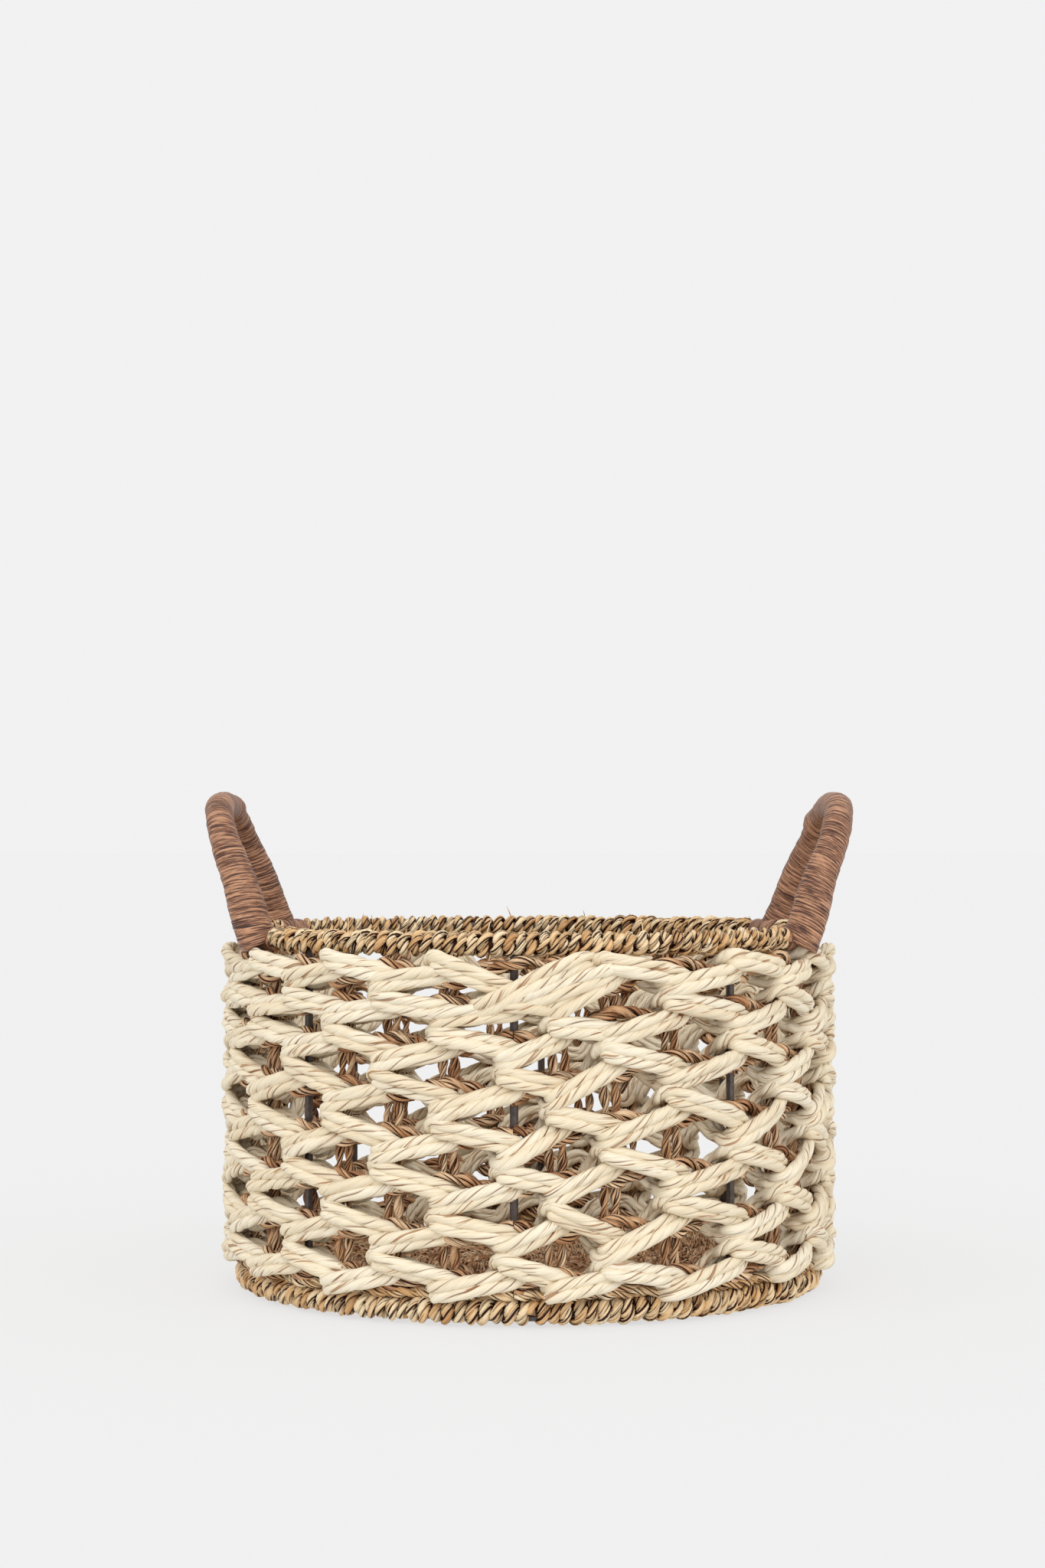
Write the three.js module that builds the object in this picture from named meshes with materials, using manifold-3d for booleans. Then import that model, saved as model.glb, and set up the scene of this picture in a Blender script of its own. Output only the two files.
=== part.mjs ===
// Round woven storage basket: a steel frame of two rings, eight rods and two handle wires,
// cord stakes between the rods, eight rows of thick paper rope woven over all of them,
// and cord bound round the rings and the handles.
//
// Millimetres, +Z up. The origin is the centre of the base, on the surface it stands on.
// Angles are in degrees, measured round the basket from the front (-Y) towards +X.

import * as THREE from 'three';
import { mergeVertices } from 'three/addons/utils/BufferGeometryUtils.js';
import Module from 'manifold-3d';

const wasm = await Module();
wasm.setup();

// Driving dimensions
const GAP = 0.3;                    // clearance between pieces that bear on each other
const RING_RADIUS = 164;            // centreline of both steel rings and of every stake
const RING_WIRE_RADIUS = 2.5;
const WRAP_RADIUS = 6;              // outside of the cord bound round a ring
const RIM_Z = 204;                  // height of the rim ring's centreline
const BASE_Z = WRAP_RADIUS;         // the bound base ring stands on the ground
const RING_SIDES = 40;              // facets round a ring

const STAKE_COUNT = 32;
const STAKES_PER_BAY = 4;           // every fourth stake is steel
const FIRST_STAKE_ANGLE = -2.9;     // a steel stake, just left of the front
const BAY_BOW = [-4.7, 2.1, -1.8, 2.4, -1.5, 2.2, -2.0, -1.3];  // sideways drift in each bay
const STEEL_STAKE_RADIUS = 2.25;
const CORD_STAKE_WIDTH = 10.4;
const CORD_STAKE_DEPTH = 5.6;

const ROW_COUNT = 8;
const FIRST_ROW_Z = 25;
const ROW_PITCH = 25.2;
const CLOSE_ROW_PITCHES = [19.5, 16.5];   // the two top rows are packed closer
// The top row ends just past the front. Beyond it the other rows are spread over the whole height.
const SPREAD_ROW_PITCH = 28.8;
const SPREAD_TOP_PITCHES = [27.8, 20, 17];
const SPREAD_FROM = [0, 3];         // stakes over which the rows spread apart
const SPREAD_UNTIL = [10, 20];      // and over which they close up again
const TOP_ROW_SPAN = [19, 32.3];    // first and last stake of the top row
const ROW_WAVE = 5.5;               // rise and fall of a row from stake to stake
const CLOSE_ROW_WAVE = 3.5;
const ROPE_INNER_RADIUS = 168.3;
const ROPE_OUTER_RADIUS = 177.3;
const ROPE_HEIGHT = 9;
const ROPE_SHOULDER = 2;            // depth of the sloping outer edges of a rope row
const WEFT_INNER_RADIUS = 156.3;
const WEFT_OUTER_RADIUS = 160.7;
const WEFT_HEIGHT = 7;

const CROSS_WIRE_RADIUS = 2;
const MAT_RADIUS = 157.3;           // clear of the base binding
const MAT_THICKNESS = 3.7;

const HANDLE_RADIUS = 8;
const HANDLE_WIRE_RADIUS = 2.5;
const HANDLE_STEPS = 24;
const WRAP_SIDES = 8;               // facets of a bound ring's or handle's section
const WIRE_SIDES = 6;
const FOOT_ANGLE = 26.5;            // handle foot, either side of the X axis
const FOOT_HALF_SPAN = 6;           // strip bound round the rim, either side of a foot
const FOOT_RADIUS = 7;
const FOOT_BOTTOM_Z = 200;          // the legs end here, inside the rim
// One half of a handle's centreline, from the foot to the middle of the grip.
const HANDLE_HALF = [
  [151.5, 76.0, FOOT_BOTTOM_Z], [156.5, 75.0, 212], [164.0, 69.0, 236],
  [173.0, 60.0, 258], [177.5, 47.0, 272], [179.5, 27.0, 278.5], [179.5, 0, 279.5],
];

// Materials
const finish = (color, roughness, metalness = 0) => ({ color, roughness, metalness });
const FINISHES = {
  paper: finish(0xefe3cb, 0.85),
  seagrass: finish(0xb39a78, 0.8),
  seagrassDark: finish(0x8c6c4c, 0.8),
  steel: finish(0x57504c, 0.45, 0.7),
  strip: finish(0x8f6b58, 0.6),
};

const radians = THREE.MathUtils.degToRad;

function around(radius, angle) {
  return [radius * Math.sin(radians(angle)), -radius * Math.cos(radians(angle))];
}

function isSteel(stake) {
  return stake % STAKES_PER_BAY === 0;
}

// Cord stakes bow sideways within each bay between two steel stakes.
function stakeAngle(stake) {
  const bay = Math.floor(stake / STAKES_PER_BAY) % BAY_BOW.length;
  const bow = BAY_BOW[bay] * Math.sin(Math.PI * (stake % STAKES_PER_BAY) / STAKES_PER_BAY);
  return FIRST_STAKE_ANGLE + stake * 360 / STAKE_COUNT + bow;
}

// Height of a row in an even stack: most rows are one pitch apart, the top ones have their own.
function stackedHeight(row, pitch, topPitches) {
  const evenRows = ROW_COUNT - topPitches.length;
  const even = Math.min(row, evenRows - 1);
  const above = topPitches.slice(0, Math.max(0, row - evenRows + 1));
  return FIRST_ROW_Z + pitch * even + above.reduce((sum, step) => sum + step, 0);
}

function spreadAt(stake) {
  const opened = THREE.MathUtils.smoothstep(stake, ...SPREAD_FROM);
  return opened - THREE.MathUtils.smoothstep(stake, ...SPREAD_UNTIL);
}

function rowHeight(row, stake) {
  const close = stackedHeight(row, ROW_PITCH, CLOSE_ROW_PITCHES);
  const spread = stackedHeight(row, SPREAD_ROW_PITCH, SPREAD_TOP_PITCHES);
  return THREE.MathUtils.lerp(close, spread, spreadAt(stake));
}

function rowWave(row) {
  return row < ROW_COUNT - CLOSE_ROW_PITCHES.length ? ROW_WAVE : CLOSE_ROW_WAVE;
}

// Stations round a ring
function evenStations(z) {
  return Array.from({ length: RING_SIDES }, (_, i) => ({ angle: i * 360 / RING_SIDES, z }));
}

// A row crosses each stake at a crest or a trough and its middle height halfway between.
function wovenStations(row) {
  const stations = [];
  for (let stake = 0; stake < STAKE_COUNT; stake++) {
    const side = (stake + row) % 2 === 0 ? 1 : -1;
    const here = stakeAngle(stake);
    const next = stake + 1 < STAKE_COUNT ? stakeAngle(stake + 1) : stakeAngle(0) + 360;
    stations.push({ angle: here, z: rowHeight(row, stake) + side * rowWave(row) });
    stations.push({ angle: (here + next) / 2, z: rowHeight(row, stake + 0.5) });
  }
  return stations;
}

function stakeStations(row) {
  const at = (stake) => ({ angle: stakeAngle(stake), z: rowHeight(row, stake) });
  return Array.from({ length: STAKE_COUNT }, (_, stake) => at(stake));
}

// A closed ring: the profile is swept through the stations, each at its own angle and height.
function ringGeometry(profile, stations) {
  const closed = [...profile, profile[0]].map(([x, y]) => new THREE.Vector2(x, y));
  const geometry = new THREE.LatheGeometry(closed, stations.length);
  const position = geometry.attributes.position;
  for (let i = 0; i < position.count; i++) {
    const station = stations[Math.floor(i / closed.length) % stations.length];
    const point = closed[i % closed.length];
    position.setXYZ(i, ...around(point.x, station.angle), point.y + station.z);
  }
  return geometry;
}

// Profiles are listed so that a ring's faces point outwards. This one has a flat underside.
function polygonProfile(centreRadius, apothem, sides) {
  const reach = apothem / Math.cos(Math.PI / sides);
  return Array.from({ length: sides }, (_, i) => {
    const turn = Math.PI * (2 * i + 1) / sides - Math.PI / 2;
    return [centreRadius + reach * Math.cos(turn), reach * Math.sin(turn)];
  });
}

function ropeProfile() {
  const half = ROPE_HEIGHT / 2;
  const shoulder = ROPE_OUTER_RADIUS - ROPE_SHOULDER;
  return [
    [ROPE_INNER_RADIUS, -half], [shoulder, -half], [ROPE_OUTER_RADIUS, 0],
    [shoulder, half], [ROPE_INNER_RADIUS, half],
  ];
}

function weftProfile() {
  const half = WEFT_HEIGHT / 2;
  return [
    [WEFT_INNER_RADIUS, -half], [WEFT_OUTER_RADIUS, -half],
    [WEFT_OUTER_RADIUS, half], [WEFT_INNER_RADIUS, half],
  ];
}

function ringTube(radius, z, sides = WRAP_SIDES) {
  return ringGeometry(polygonProfile(RING_RADIUS, radius, sides), evenStations(z));
}

// Upright rods and stakes
function rod(radius, height, sides = WRAP_SIDES) {
  return new THREE.CylinderGeometry(radius, radius, height, sides).rotateX(Math.PI / 2);
}

function ovalStake(width, depth, height) {
  const outline = new THREE.Shape();
  outline.absellipse(0, 0, width / 2, depth / 2, 0, 2 * Math.PI);
  const options = { depth: height, bevelEnabled: false, curveSegments: WIRE_SIDES };
  return new THREE.ExtrudeGeometry(outline, options).translate(0, 0, -height / 2);
}

// Joining and cutting
function toSolid(geometry) {
  const plain = geometry.clone();
  plain.deleteAttribute('normal');
  plain.deleteAttribute('uv');
  const merged = mergeVertices(plain, 1e-4);
  const vertProperties = Float32Array.from(merged.attributes.position.array);
  const triVerts = Uint32Array.from(merged.index.array);
  return new wasm.Manifold(new wasm.Mesh({ numProp: 3, vertProperties, triVerts }));
}

function toGeometry(solid) {
  const { vertProperties, triVerts } = solid.getMesh();
  const geometry = new THREE.BufferGeometry();
  geometry.setAttribute('position', new THREE.BufferAttribute(vertProperties, 3));
  geometry.setIndex(new THREE.BufferAttribute(triVerts, 1));
  geometry.computeVertexNormals();
  return geometry;
}

// A pie slice about the Z axis that takes in the rim and top row between two angles.
function rimSlice(from, to) {
  const outline = new THREE.Shape([new THREE.Vector2(0, 0)]);
  const steps = 8;
  for (let i = 0; i <= steps; i++) {
    outline.lineTo(...around(1.5 * RING_RADIUS, from + (to - from) * i / steps));
  }
  const depth = 8 * WRAP_RADIUS;
  const slice = new THREE.ExtrudeGeometry(outline, { depth, bevelEnabled: false });
  return toSolid(slice.translate(0, 0, RIM_Z - depth / 2));
}

function steelStakes() {
  return Array.from({ length: STAKE_COUNT }, (_, stake) => stake).filter(isSteel);
}

function withoutStakeHoles(solid) {
  let result = solid;
  for (const stake of steelStakes()) {
    const hole = rod(STEEL_STAKE_RADIUS + GAP, RIM_Z - BASE_Z);
    hole.translate(...around(RING_RADIUS, stakeAngle(stake)), (RIM_Z + BASE_Z) / 2);
    result = result.subtract(toSolid(hole));
  }
  return result;
}

// The binding on a ring is a sleeve round the wire, open where the steel stakes come through.
function ringSleeve(z) {
  const sleeve = toSolid(ringTube(WRAP_RADIUS, z));
  const channel = toSolid(ringTube(RING_WIRE_RADIUS + GAP, z, WIRE_SIDES));
  return withoutStakeHoles(sleeve.subtract(channel));
}

function crossWires(radius) {
  const wires = [0, 90].map((turn) => {
    const wire = new THREE.CylinderGeometry(radius, radius, 2 * RING_RADIUS, WRAP_SIDES);
    return toSolid(wire.rotateZ(radians(turn + FIRST_STAKE_ANGLE)).translate(0, 0, BASE_Z));
  });
  return wires[0].add(wires[1]);
}

function baseWrapGeometry() {
  return toGeometry(ringSleeve(BASE_Z).subtract(crossWires(CROSS_WIRE_RADIUS + GAP)));
}

function baseFrameGeometry() {
  const ring = toSolid(ringTube(RING_WIRE_RADIUS, BASE_Z, WIRE_SIDES));
  return toGeometry(ring.add(crossWires(CROSS_WIRE_RADIUS)));
}

function matGeometry() {
  const mat = new THREE.CylinderGeometry(MAT_RADIUS, MAT_RADIUS, MAT_THICKNESS, RING_SIDES);
  const bottom = BASE_Z + CROSS_WIRE_RADIUS + GAP;
  return mat.rotateX(Math.PI / 2).translate(0, 0, bottom + MAT_THICKNESS / 2);
}

// Handles
function handleCurve(side) {
  const rising = HANDLE_HALF.map(([x, y, z]) => new THREE.Vector3(side * x, -y, z));
  const falling = rising.slice(0, -1).reverse().map(({ x, y, z }) => new THREE.Vector3(x, -y, z));
  return new THREE.CatmullRomCurve3([...rising, ...falling]);
}

function tube(curve, radius, sides) {
  const outline = new THREE.Shape();
  for (let i = 0; i < sides; i++) {
    const turn = 2 * Math.PI * i / sides;
    const point = [radius * Math.cos(turn), radius * Math.sin(turn)];
    if (i === 0) outline.moveTo(...point);
    else outline.lineTo(...point);
  }
  const options = { steps: HANDLE_STEPS, bevelEnabled: false, extrudePath: curve };
  return new THREE.ExtrudeGeometry(outline, options);
}

// Where the binding of a leg ends it is open, and the wire comes down through it.
function footHole(curve, end) {
  const radius = HANDLE_WIRE_RADIUS + GAP;
  const hole = new THREE.CylinderGeometry(radius, radius, HANDLE_RADIUS, WIRE_SIDES);
  const tangent = curve.getTangent(end);
  const turn = new THREE.Quaternion().setFromUnitVectors(new THREE.Vector3(0, 1, 0), tangent);
  const point = curve.getPoint(end);
  return toSolid(hole.applyQuaternion(turn).translate(point.x, point.y, point.z));
}

// The strip that binds a handle also runs round the rim ring at each foot.
function handleWrapGeometry(side) {
  const curve = handleCurve(side);
  const rim = toSolid(ringTube(FOOT_RADIUS, RIM_Z));
  const channel = toSolid(ringTube(RING_WIRE_RADIUS + GAP, RIM_Z, WIRE_SIDES));
  let wrap = toSolid(tube(curve, HANDLE_RADIUS, WRAP_SIDES));
  for (const end of [-1, 1]) {
    const middle = side * (90 + end * FOOT_ANGLE);
    wrap = wrap.add(rim.intersect(rimSlice(middle - FOOT_HALF_SPAN, middle + FOOT_HALF_SPAN)));
  }
  wrap = wrap.subtract(toSolid(tube(curve, HANDLE_WIRE_RADIUS + GAP, WIRE_SIDES)));
  wrap = wrap.subtract(footHole(curve, 0)).subtract(footHole(curve, 1));
  return toGeometry(wrap.subtract(channel));
}

// Assembly
const basket = new THREE.Group();

function addMesh(name, geometry, look, position = [0, 0, 0], turn = 0) {
  const mesh = new THREE.Mesh(geometry, new THREE.MeshStandardMaterial(look));
  mesh.name = name;
  mesh.position.set(...position);
  mesh.rotation.z = radians(turn);
  basket.add(mesh);
}

function addRings() {
  addMesh('rim_ring', ringTube(RING_WIRE_RADIUS, RIM_Z, WIRE_SIDES), FINISHES.steel);
  addMesh('base_ring_and_cross_wires', baseFrameGeometry(), FINISHES.steel);
  addMesh('base_wrap', baseWrapGeometry(), FINISHES.seagrass);
  addMesh('floor_mat', matGeometry(), FINISHES.seagrass);
}

function addRimWraps() {
  const sleeve = ringSleeve(RIM_Z);
  const legEdge = FOOT_ANGLE + FOOT_HALF_SPAN + GAP;
  const sideEdge = FOOT_ANGLE - FOOT_HALF_SPAN - GAP;
  const arcs = {
    front: [legEdge - 90, 90 - legEdge],
    right: [90 - sideEdge, 90 + sideEdge],
    back: [90 + legEdge, 270 - legEdge],
    left: [270 - sideEdge, 270 + sideEdge],
  };
  for (const [place, [from, to]] of Object.entries(arcs)) {
    const arc = toGeometry(sleeve.intersect(rimSlice(from, to)));
    addMesh(`rim_wrap_${place}`, arc, FINISHES.seagrass);
  }
}

function addStakes() {
  const steelHeight = RIM_Z - BASE_Z - 2 * (RING_WIRE_RADIUS + GAP);
  const cordBottom = BASE_Z + WRAP_RADIUS + GAP;
  const cordHeight = RIM_Z - FOOT_RADIUS - GAP - cordBottom;
  for (let stake = 0; stake < STAKE_COUNT; stake++) {
    const angle = stakeAngle(stake);
    const number = String(stake).padStart(2, '0');
    const place = around(RING_RADIUS, angle);
    if (isSteel(stake)) {
      const middle = (RIM_Z + BASE_Z) / 2;
      const steel = rod(STEEL_STAKE_RADIUS, steelHeight);
      addMesh(`steel_stake_${number}`, steel, FINISHES.steel, [...place, middle], angle);
    } else {
      const cord = ovalStake(CORD_STAKE_WIDTH, CORD_STAKE_DEPTH, cordHeight);
      const middle = cordBottom + cordHeight / 2;
      addMesh(`cord_stake_${number}`, cord, FINISHES.seagrassDark, [...place, middle], angle);
    }
  }
}

// The top row stops short of a full turn.
function rowGeometry(row, profile, stations) {
  const ring = ringGeometry(profile, stations);
  if (row < ROW_COUNT - 1) return ring;
  const [from, to] = TOP_ROW_SPAN.map((stake) => FIRST_STAKE_ANGLE + stake * 360 / STAKE_COUNT);
  return toGeometry(toSolid(ring).intersect(rimSlice(from, to)));
}

function addRows() {
  for (let row = 0; row < ROW_COUNT; row++) {
    const rope = rowGeometry(row, ropeProfile(), wovenStations(row));
    const weft = rowGeometry(row, weftProfile(), stakeStations(row));
    addMesh(`rope_row_${row + 1}`, rope, FINISHES.paper);
    addMesh(`weft_row_${row + 1}`, weft, FINISHES.seagrassDark);
  }
}

function addHandles() {
  for (const [place, side] of [['right', 1], ['left', -1]]) {
    const wire = tube(handleCurve(side), HANDLE_WIRE_RADIUS, WIRE_SIDES);
    addMesh(`handle_wire_${place}`, wire, FINISHES.steel);
    addMesh(`handle_wrap_${place}`, handleWrapGeometry(side), FINISHES.strip);
  }
}

addRings();
addRimWraps();
addStakes();
addRows();
addHandles();

export default basket;
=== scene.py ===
import math

import bpy
import numpy as np
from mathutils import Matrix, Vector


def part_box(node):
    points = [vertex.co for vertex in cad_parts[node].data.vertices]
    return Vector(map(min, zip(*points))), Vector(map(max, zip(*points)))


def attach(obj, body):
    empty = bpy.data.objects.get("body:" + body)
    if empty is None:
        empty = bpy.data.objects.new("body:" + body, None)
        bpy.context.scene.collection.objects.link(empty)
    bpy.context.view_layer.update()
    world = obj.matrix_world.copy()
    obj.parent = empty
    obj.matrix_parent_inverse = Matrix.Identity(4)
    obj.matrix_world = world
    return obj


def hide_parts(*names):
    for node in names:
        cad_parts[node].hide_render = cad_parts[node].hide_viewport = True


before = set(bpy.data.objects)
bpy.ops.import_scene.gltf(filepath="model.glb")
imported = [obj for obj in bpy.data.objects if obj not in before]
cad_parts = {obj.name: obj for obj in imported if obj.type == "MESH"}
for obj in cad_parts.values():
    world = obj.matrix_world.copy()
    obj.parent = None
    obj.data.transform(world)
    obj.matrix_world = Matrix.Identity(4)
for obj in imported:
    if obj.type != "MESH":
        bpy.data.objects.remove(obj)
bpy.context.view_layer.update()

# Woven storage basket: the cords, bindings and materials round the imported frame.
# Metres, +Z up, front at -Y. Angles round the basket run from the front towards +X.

MM = 0.001
TAU = 2 * math.pi
STAKES = 32
ROWS = 8
TOP_ROW = ROWS - 1
STATION_STEP = 2.0 * MM          # spacing of the sections along a rope or cord
FIBRE_SHIFT = 50                 # each strand starts at its own place in so many metres of pattern
SAME_BEARING = 0.004             # sine of half the angle from a stake within which a vertex counts
SEED = {
    "junctions": 11, "rope": 100, "weft": 200, "stake": 300, "rim": 400, "base": 450,
    "floor": 500, "handle": 600,
}

# ---------------------------------------------------------------- layout, from the frame

def middle(node):
    low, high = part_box(node)
    return (np.array(low) + np.array(high)) / 2


def bearing(node):
    """Angle of a node round the basket, in radians from the front towards +X."""
    x, y, _ = middle(node)
    return math.atan2(x, -y)


def stake_node(stake):
    """Every fourth stake is a steel rod, the others are pairs of cords."""
    kind = "steel" if stake % 4 == 0 else "cord"
    return f"{kind}_stake_{stake:02d}"


STAKE_ANGLE = np.unwrap([bearing(stake_node(k)) for k in range(STAKES)])
RIM_WIRE_RADIUS = 2.5 * MM
RING_RADIUS = (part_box("rim_ring")[1].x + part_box("rim_ring")[1].y) / 2 - RIM_WIRE_RADIUS
RIM_Z = middle("rim_ring")[2]
BASE_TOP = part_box("base_wrap")[1].z
RIM_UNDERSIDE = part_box("rim_wrap_front")[0].z


def height_at_stakes(row):
    """Middle height of a row at each stake, from its weft in the frame; nan where it is missing."""
    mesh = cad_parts[f"weft_row_{row + 1}"].data
    points = np.array([vertex.co for vertex in mesh.vertices])
    angles = np.arctan2(points[:, 0], -points[:, 1])
    apart = angles[:, None] - STAKE_ANGLE[None, :]
    near = np.abs(np.sin(apart / 2)) < SAME_BEARING
    near &= np.cos(apart) > 0
    heights = [points[near[:, k], 2] for k in range(STAKES)]
    return [(h.min() + h.max()) / 2 if len(h) else math.nan for h in heights]


ROW_Z = np.array([height_at_stakes(i) for i in range(ROWS)])
TOP_ROW_STAKES = np.flatnonzero(~np.isnan(ROW_Z[TOP_ROW]))
TOP_ROW_START = TOP_ROW_STAKES[TOP_ROW_STAKES > 0][0]

# ---------------------------------------------------------------- small helpers

def ring_point(radius, angle):
    return np.stack([radius * np.sin(angle), -radius * np.cos(angle)], -1)


def catmull_rom(a, b, c, d, f):
    """Smooth curve from b to c, at the share f of the way."""
    return b + 0.5 * f * (c - a + f * (2 * a - 5 * b + 4 * c - d + f * (3 * (b - c) + d - a)))


def closed_curve(values, at):
    """Smooth closed curve through evenly spaced values; at counts in values."""
    values = np.asarray(values, float)
    low = np.floor(at).astype(int)
    f = (at - low)[..., None] if values.ndim > 1 else at - low
    return catmull_rom(*(values[(low + k) % len(values)] for k in (-1, 0, 1, 2)), f)


def open_curve(knots, at):
    """Smooth curve through a list of knots; at counts from 0 at the first one."""
    last = len(knots) - 1
    knots = np.vstack([2 * knots[0] - knots[1], knots, 2 * knots[-1] - knots[-2]])
    low = np.minimum(np.floor(at).astype(int), last - 1)
    f = (at - low)[:, None]
    return catmull_rom(*(knots[low + k] for k in range(4)), f)


def wobble(s, amount, step, rng, shape=()):
    """Smooth random values of up to about the amount, changing over each step along s."""
    span = s[-1] - s[0]
    knots = max(4, int(round(span / step)))
    values = rng.uniform(-1, 1, (knots,) + shape)
    return amount * closed_curve(values, (s - s[0]) / span * knots)


def random_for(kind, number=0):
    """Every piece has random numbers of its own, so it can change without the others."""
    return np.random.default_rng(SEED[kind] + number)


def arc_length(points):
    steps = np.linalg.norm(np.diff(points, axis=0), axis=1)
    return np.concatenate([[0], np.cumsum(steps)])


def resample(points, spacing=STATION_STEP):
    s = arc_length(points)
    count = max(3, int(round(s[-1] / spacing)) + 1)
    even = np.linspace(0, s[-1], count)
    return np.stack([np.interp(even, s, points[:, k]) for k in range(3)], -1)


def unit(v):
    return v / np.linalg.norm(v, axis=-1, keepdims=True)


def radial(path):
    """Level direction away from the basket's axis at each point of a path."""
    return unit(np.column_stack([path[:, :2], np.zeros(len(path))]))


def upward(path):
    return np.broadcast_to([0.0, 0.0, 1.0], path.shape)


def ring_path(radius, angle, height):
    """Path at the given angles; radius and height are single values or one for each angle."""
    radius = np.broadcast_to(radius, angle.shape)
    return np.column_stack([ring_point(radius, angle), np.broadcast_to(height, angle.shape)])


def section_axes(path, outward):
    """Side and outward axes at each point of a path, square to it."""
    tangent = unit(np.gradient(path, axis=0))
    out = outward - (outward * tangent).sum(-1, keepdims=True) * tangent
    out = unit(out)
    return np.cross(out, tangent), out

# ---------------------------------------------------------------- cord meshes

class CordMesh:
    """Collects swept strands and turns them into one mesh with its fibre, painted-shade and tone
    attributes.
    """

    def __init__(self):
        self.points, self.quads, self.fibre, self.groove, self.tone = [], [], [], [], []
        self.count = 0

    def add(self, points, fibre, groove, tone):
        stations, columns = points.shape[:2]
        index = self.count + np.arange(stations * columns).reshape(stations, columns)
        here, there = index[:-1], index[1:]
        quads = [here, np.roll(here, -1, 1), np.roll(there, -1, 1), there]
        self.quads.append(np.stack(quads, -1).reshape(-1, 4))
        self.quads.append(end_cap(index[0], True))
        self.quads.append(end_cap(index[-1], False))
        self.points.append(points.reshape(-1, 3))
        self.fibre.append(fibre.reshape(-1, 3))
        self.groove.append(groove.ravel())
        self.tone.append(np.broadcast_to(tone[:, None], (stations, columns)).ravel())
        self.count += stations * columns

    def piece(self, name, material):
        points = np.concatenate(self.points).astype(np.float32)
        quads = np.concatenate(self.quads).astype(np.int32)
        mesh = bpy.data.meshes.new(name)
        mesh.vertices.add(len(points))
        mesh.vertices.foreach_set("co", points.ravel())
        mesh.loops.add(quads.size)
        mesh.loops.foreach_set("vertex_index", quads.ravel())
        mesh.polygons.add(len(quads))
        mesh.polygons.foreach_set("loop_start", np.arange(0, quads.size, 4, dtype=np.int32))
        mesh.polygons.foreach_set("use_smooth", np.ones(len(quads), bool))
        mesh.update(calc_edges=True)
        store(mesh, "fibre", "FLOAT_VECTOR", "vector", np.concatenate(self.fibre))
        store(mesh, "groove", "FLOAT", "value", np.concatenate(self.groove))
        store(mesh, "tone", "FLOAT", "value", np.concatenate(self.tone))
        mesh.materials.append(material)
        piece = bpy.data.objects.new(name, mesh)
        bpy.context.scene.collection.objects.link(piece)
        return piece


def end_cap(ring, flip):
    """Closes a ring of an even number of vertices with a ladder of quads."""
    half = len(ring) // 2
    rungs = [(ring[i], ring[i + 1], ring[-2 - i], ring[-1 - i]) for i in range(half - 1)]
    rungs = np.array(rungs)
    return rungs if not flip else rungs[:, ::-1]


def store(mesh, name, kind, field, values):
    attribute = mesh.attributes.new(name, kind, "POINT")
    attribute.data.foreach_set(field, np.asarray(values, np.float32).ravel())


def sweep(mesh, centre, side, out, turn, columns, reach, groove, tone, fibre_start=0.0):
    """Adds one strand: columns are section angles, reach their radii at each station."""
    angle = turn[:, None] + columns[None, :]
    spoke = np.cos(angle)[..., None] * side[:, None] + np.sin(angle)[..., None] * out[:, None]
    points = centre[:, None] + reach[..., None] * spoke
    fibre = np.empty(points.shape)
    fibre[..., 0] = arc_length(centre)[:, None] + fibre_start
    fibre[..., 1] = reach * np.cos(columns)[None, :]
    fibre[..., 2] = reach * np.sin(columns)[None, :]
    # Each vertex carries how much painted shade its material puts on it.
    mesh.add(points, fibre, np.broadcast_to(groove, reach.shape), tone)


def offset_path(path, side, out, angle, distance):
    """The path moved by a distance at an angle in its own section."""
    distance = np.broadcast_to(distance, angle.shape)[:, None]
    return path + distance * (np.cos(angle)[:, None] * side + np.sin(angle)[:, None] * out)


def seam_shade(angle, away, start, end):
    """Painted shade mask: 1 in the crease where two plies touch, 0 on the rest; away points from the
    other ply.
    """
    return np.clip((-np.cos(angle - away) - start) / (end - start), 0, 1)

# ---------------------------------------------------------------- paper rope rows

ROPE_HALF = 4.9 * MM             # half the height of the rope where two rows meet
PLY_RADIUS = 3.25 * MM
PLY_OFFSET = 2.6 * MM
PLY_PITCH = 40 * MM
CREST_TAIL = 7.0 * MM            # where a rope slips under the next: this far below it at a crest
TROUGH_TAIL = 7.6 * MM           # and this far above it at a trough
TAIL_SHARE = 0.45                # but no more than this share of the way, where rows are tight
INNER_SAG = 0.15                 # inside the wall a rope sags by this share of its depth
SQUEEZED = 0.74                  # its size where it passes between the stakes and behind them
SQUEEZE_END = -3 * MM            # it is squeezed up to this far outside the ring's radius
SQUEEZE_RANGE = 8 * MM           # and has its full size this much further out
LAST_TROUGH_DROP = 12 * MM       # the top row dips before it runs out
BASE_GAP = (2.5 * MM, 5.0 * MM)  # least and most room between the base and the lowest rope
RIM_GAP = (0.0, 1.5 * MM)        # and by which the highest ropes reach into the rim
TIGHT_GAP = 15 * MM              # rows further apart than this meet at uneven heights
UNEVEN_SHARE = 0.28
UNEVEN_MOST = 3 * MM
REPEAT = 3                       # stakes for each repeat of a rope: over two and behind one
KNOTS_PER_STAKE = 4
STEPS_PER_STAKE = 16
RUN_OUT = 1.2                    # the top row's ropes run out this many stakes before their repeat
ROPE_SWAY = (0.6, 40 * MM)       # radians by which the two plies roll, and over what length

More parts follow.
